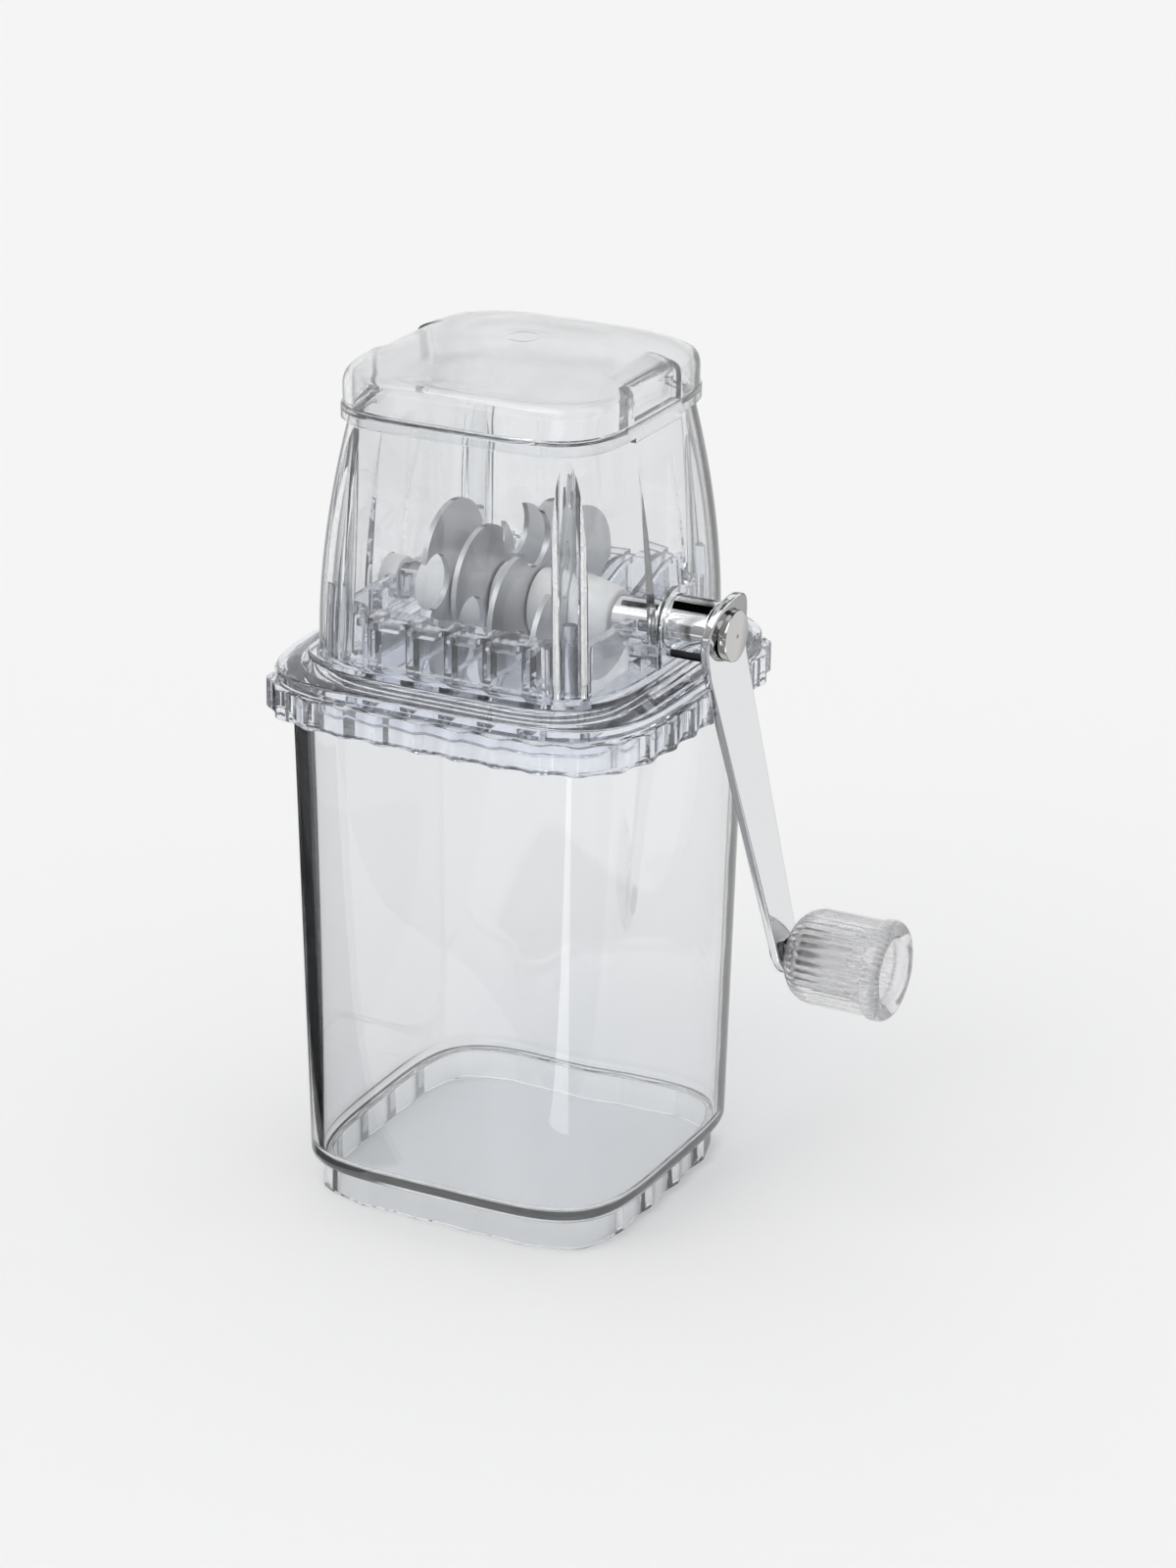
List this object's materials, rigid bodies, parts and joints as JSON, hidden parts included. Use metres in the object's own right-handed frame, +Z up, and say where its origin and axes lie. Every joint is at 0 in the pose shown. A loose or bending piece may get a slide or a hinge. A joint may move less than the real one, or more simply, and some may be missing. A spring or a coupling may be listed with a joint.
{
  "type": "hand cranked ice crusher",
  "caption": "Clear square ice crusher with lidded hopper, fluted collar, bladed shaft turned by a side crank with a ribbed knob, and a container below.",
  "frame": {"origin": "on the table plane, under the middle of the container", "axes": "+Z up along the container's axis, +X out along the crank shaft to the crank, +Y to the back"},
  "size_m": [0.1775, 0.1208, 0.2507],
  "materials": {
    "clear_plastic": "clear moulded styrene acrylic, polished",
    "blue_clear_plastic": "clear moulded plastic with a faint blue tint where it is thick",
    "knob_plastic": "clear moulded plastic, greyed by its ribs",
    "white_plastic": "white moulded plastic",
    "chrome": "bright chrome plate",
    "steel": "brushed stainless steel"
  },
  "bodies": {
    "container": {"container": "clear_plastic"},
    "hopper": {"crusher_base": "blue_clear_plastic", "hopper": "clear_plastic", "left_bush": "white_plastic", "right_bush": "clear_plastic"},
    "lid": {"lid": "clear_plastic"},
    "crank": {"drive_shaft": "chrome", "blade_1": "steel", "blade_2": "steel", "blade_3": "steel", "blade_4": "steel", "spacer_1": "white_plastic", "spacer_2": "white_plastic", "spacer_3": "white_plastic", "hub_left": "white_plastic", "hub_right": "white_plastic", "crank_sleeve": "chrome", "crank_arm": "chrome", "crank_nut": "steel", "knob_pin": "chrome", "knob_washer": "steel"},
    "knob": {"knob": "knob_plastic"}
  },
  "joints": [
    {"name": "hopper_lift", "type": "slide", "parent": "container", "child": "hopper", "axis": [0, 0, 1], "range_m": [0, 0.1]},
    {"name": "lid_lift", "type": "slide", "parent": "hopper", "child": "lid", "axis": [0, 0, 1], "range_m": [0, 0.04]},
    {"name": "crank_turn", "type": "hinge", "parent": "hopper", "child": "crank", "pos_m": [0, 0, 0.175], "axis": [1, 0, 0], "continuous": true},
    {"name": "knob_spin", "type": "hinge", "parent": "crank", "child": "knob", "pos_m": [0.1, 0, 0.0853], "axis": [1, 0, 0], "continuous": true}
  ]
}
